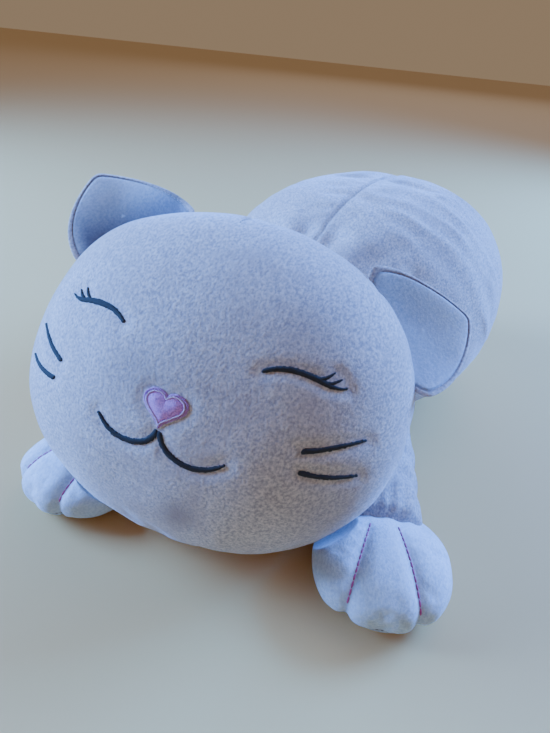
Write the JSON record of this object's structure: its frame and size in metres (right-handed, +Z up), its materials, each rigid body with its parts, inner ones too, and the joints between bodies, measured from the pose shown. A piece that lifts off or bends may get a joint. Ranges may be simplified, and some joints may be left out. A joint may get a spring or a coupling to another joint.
{
  "type": "plush cat",
  "caption": "Lying plush cat cushion with a wide tilted head, closed embroidered eyes, floppy ears, short front legs with toed paws, hind feet and a short tail.",
  "frame": {"origin": "middle of the torso's flat belly, on the surface that the toy lies on", "axes": "+Z up; the face looks along -Y and up; +X is the cat's left; the rump is turned a little towards +X"},
  "size_m": [0.3417, 0.5927, 0.2296],
  "materials": {
    "velboa_greige": "short-pile plush",
    "velboa_white": "short-pile plush",
    "polyester_fibre": "loose fibre",
    "black_satin_thread": "satin-stitched thread",
    "nose_plush": "speckled plush",
    "nose_border_thread": "satin-stitched thread",
    "pink_thread": "thread",
    "seam_thread": "thread",
    "label_satin": "woven satin, blank"
  },
  "bodies": {
    "torso": {"torso_left_panel": "velboa_greige", "torso_right_panel": "velboa_greige", "back_seam": "seam_thread", "belly_panel": "velboa_greige", "torso_filling": "polyester_fibre", "care_label": "label_satin"},
    "head": {"head_front_panel": "velboa_greige", "head_back_panel": "velboa_greige", "head_seam": "seam_thread", "head_filling": "polyester_fibre", "crown_dart": "seam_thread", "left_eye": "black_satin_thread", "right_eye": "black_satin_thread", "nose": "nose_plush", "nose_border": "nose_border_thread", "mouth": "black_satin_thread", "left_whiskers": "black_satin_thread", "right_whiskers": "black_satin_thread"},
    "left_ear": {"left_ear_front": "velboa_white", "left_ear_back": "velboa_greige", "left_ear_wadding": "polyester_fibre", "left_ear_seam": "seam_thread"},
    "right_ear": {"right_ear_front": "velboa_white", "right_ear_back": "velboa_greige", "right_ear_wadding": "polyester_fibre", "right_ear_seam": "seam_thread"},
    "left_front_leg": {"left_leg_sleeve": "velboa_greige", "left_leg_filling": "polyester_fibre", "left_paw_top": "velboa_white", "left_paw_sole": "velboa_white", "left_paw_seam": "seam_thread", "left_toe_stitches": "pink_thread", "left_paw_filling": "polyester_fibre"},
    "right_front_leg": {"right_leg_sleeve": "velboa_greige", "right_leg_filling": "polyester_fibre", "right_paw_top": "velboa_white", "right_paw_sole": "velboa_white", "right_paw_seam": "seam_thread", "right_toe_stitches": "pink_thread", "right_paw_filling": "polyester_fibre"},
    "left_hind_foot": {"left_hind_foot": "velboa_greige", "left_hind_sole": "velboa_white", "left_hind_filling": "polyester_fibre"},
    "right_hind_foot": {"right_hind_foot": "velboa_greige", "right_hind_sole": "velboa_white", "right_hind_filling": "polyester_fibre"},
    "tail": {"tail_cover": "velboa_greige", "tail_filling": "polyester_fibre"}
  },
  "joints": [
    {"name": "head_nod", "type": "hinge", "parent": "torso", "child": "head", "pos_m": [-0.055, -0.255, 0.113], "axis": [0.9945, 0, -0.1045], "range_deg": [-8, 7], "stiffness_Nm_per_rad": 6},
    {"name": "left_ear_fold", "type": "hinge", "parent": "head", "child": "left_ear", "pos_m": [0.05565, -0.21993, 0.15591], "axis": [-0.5837, 0.4894, 0.6479], "range_deg": [-12, 15], "stiffness_Nm_per_rad": 0.15},
    {"name": "right_ear_fold", "type": "hinge", "parent": "head", "child": "right_ear", "pos_m": [-0.14277, -0.21225, 0.18597], "axis": [-0.7961, -0.4274, -0.4285], "range_deg": [-12, 15], "stiffness_Nm_per_rad": 0.15},
    {"name": "left_leg_swing", "type": "hinge", "parent": "torso", "child": "left_front_leg", "pos_m": [0.06, -0.161, 0.0293], "axis": [0, 0, 1], "range_deg": [0, 22], "stiffness_Nm_per_rad": 0.6},
    {"name": "right_leg_swing", "type": "hinge", "parent": "torso", "child": "right_front_leg", "pos_m": [-0.107, -0.165, 0.0293], "axis": [0, 0, -1], "range_deg": [0, 22], "stiffness_Nm_per_rad": 0.6},
    {"name": "left_hind_swing", "type": "hinge", "parent": "torso", "child": "left_hind_foot", "pos_m": [0.09248, 0.10338, 0.017], "axis": [0, 0, -1], "range_deg": [0, 15], "stiffness_Nm_per_rad": 0.3},
    {"name": "right_hind_swing", "type": "hinge", "parent": "torso", "child": "right_hind_foot", "pos_m": [-0.03593, 0.13397, 0.017], "axis": [0, 0, 1], "range_deg": [0, 15], "stiffness_Nm_per_rad": 0.3},
    {"name": "tail_swing", "type": "hinge", "parent": "torso", "child": "tail", "pos_m": [0.03789, 0.15905, 0.037], "axis": [0, 0, 1], "range_deg": [-25, 12], "stiffness_Nm_per_rad": 0.2}
  ]
}
